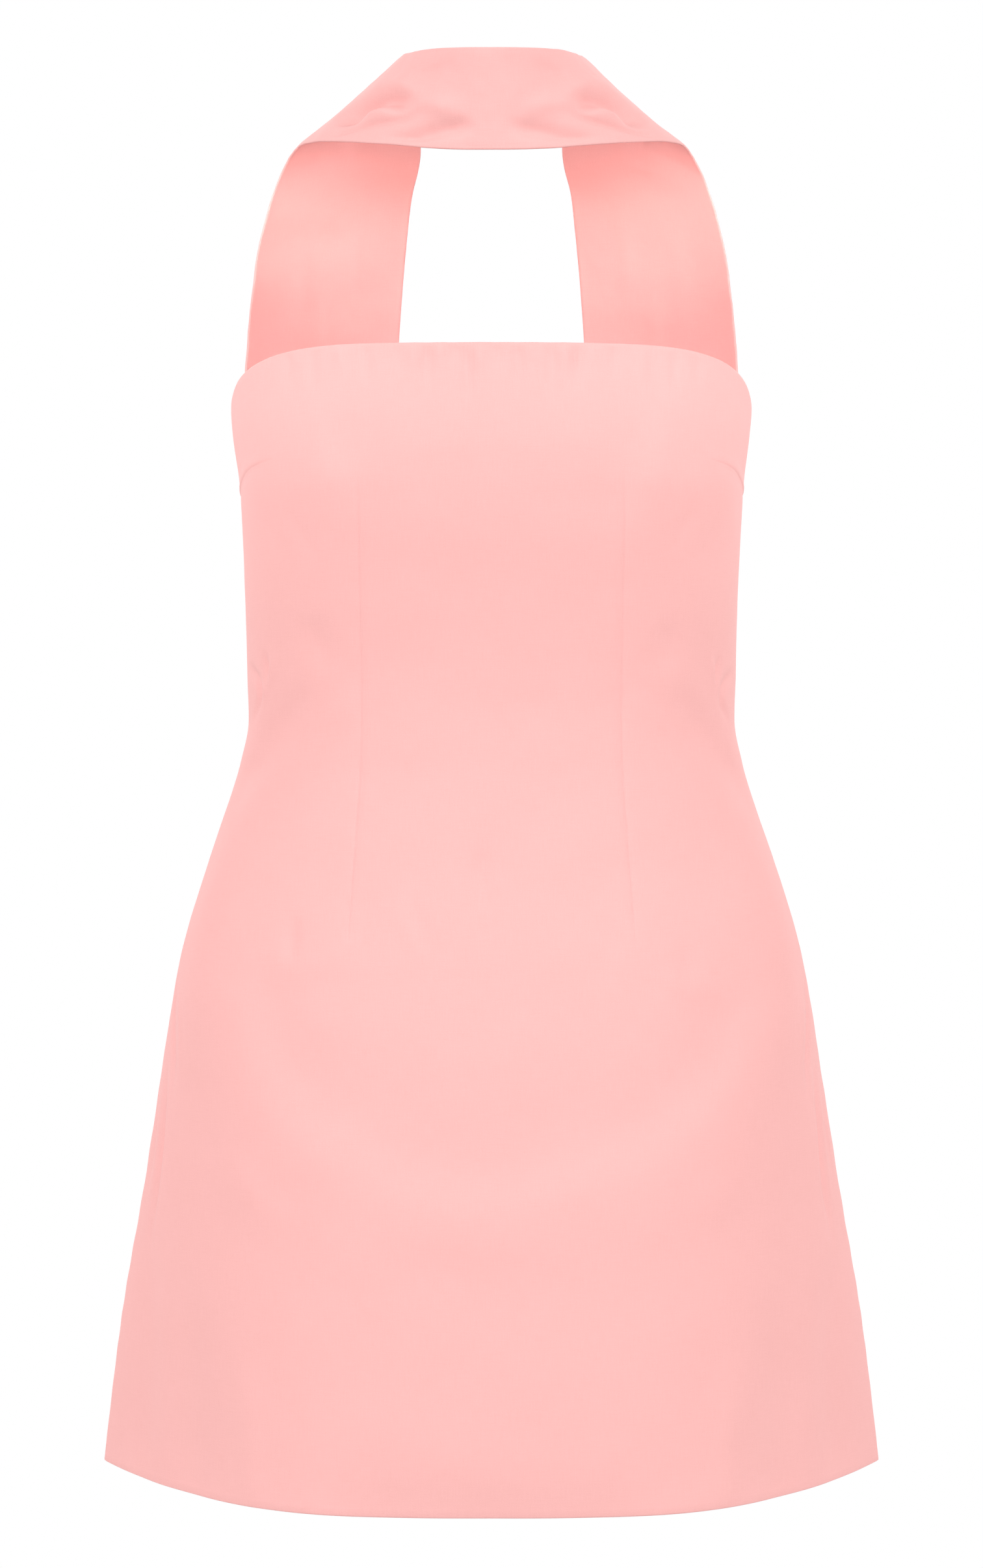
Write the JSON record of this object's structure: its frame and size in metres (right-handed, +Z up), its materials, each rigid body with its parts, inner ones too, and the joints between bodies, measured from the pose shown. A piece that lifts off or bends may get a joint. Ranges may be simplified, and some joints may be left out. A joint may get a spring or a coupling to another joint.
{
  "type": "bandeau dress with scarf neck band",
  "caption": "Fitted mini dress with a straight bandeau top, bust and waist darts, a flared skirt, a back zip and a wide scarf band that crosses the front of the neck.",
  "frame": {"origin": "middle of the neck loop, at the height where the scarf band rests on the wearer's neck and shoulders", "axes": "+Z up the wearer's body, -Y out of the front, +X to the viewer's right when seen from the front"},
  "size_m": [0.476, 0.2791, 0.8749],
  "materials": {
    "pink_cloth": "smooth matte plain weave with a faint sheen",
    "pink_zip_tape": "matte woven tape",
    "pink_enamel": "satin enamel"
  },
  "bodies": {
    "dress": {"front_panel": "pink_cloth", "back_panel_left": "pink_cloth", "back_panel_right": "pink_cloth", "scarf_band": "pink_cloth", "zip_tape_left": "pink_zip_tape", "zip_tape_right": "pink_zip_tape", "zip_slider": "pink_enamel"},
    "zip_pull": {"zip_pull": "pink_enamel"}
  },
  "joints": [
    {"name": "zip_pull_swing", "type": "hinge", "parent": "dress", "child": "zip_pull", "pos_m": [0, 0.0984, -0.206], "axis": [1, 0, 0], "range_deg": [-4, 165]}
  ]
}
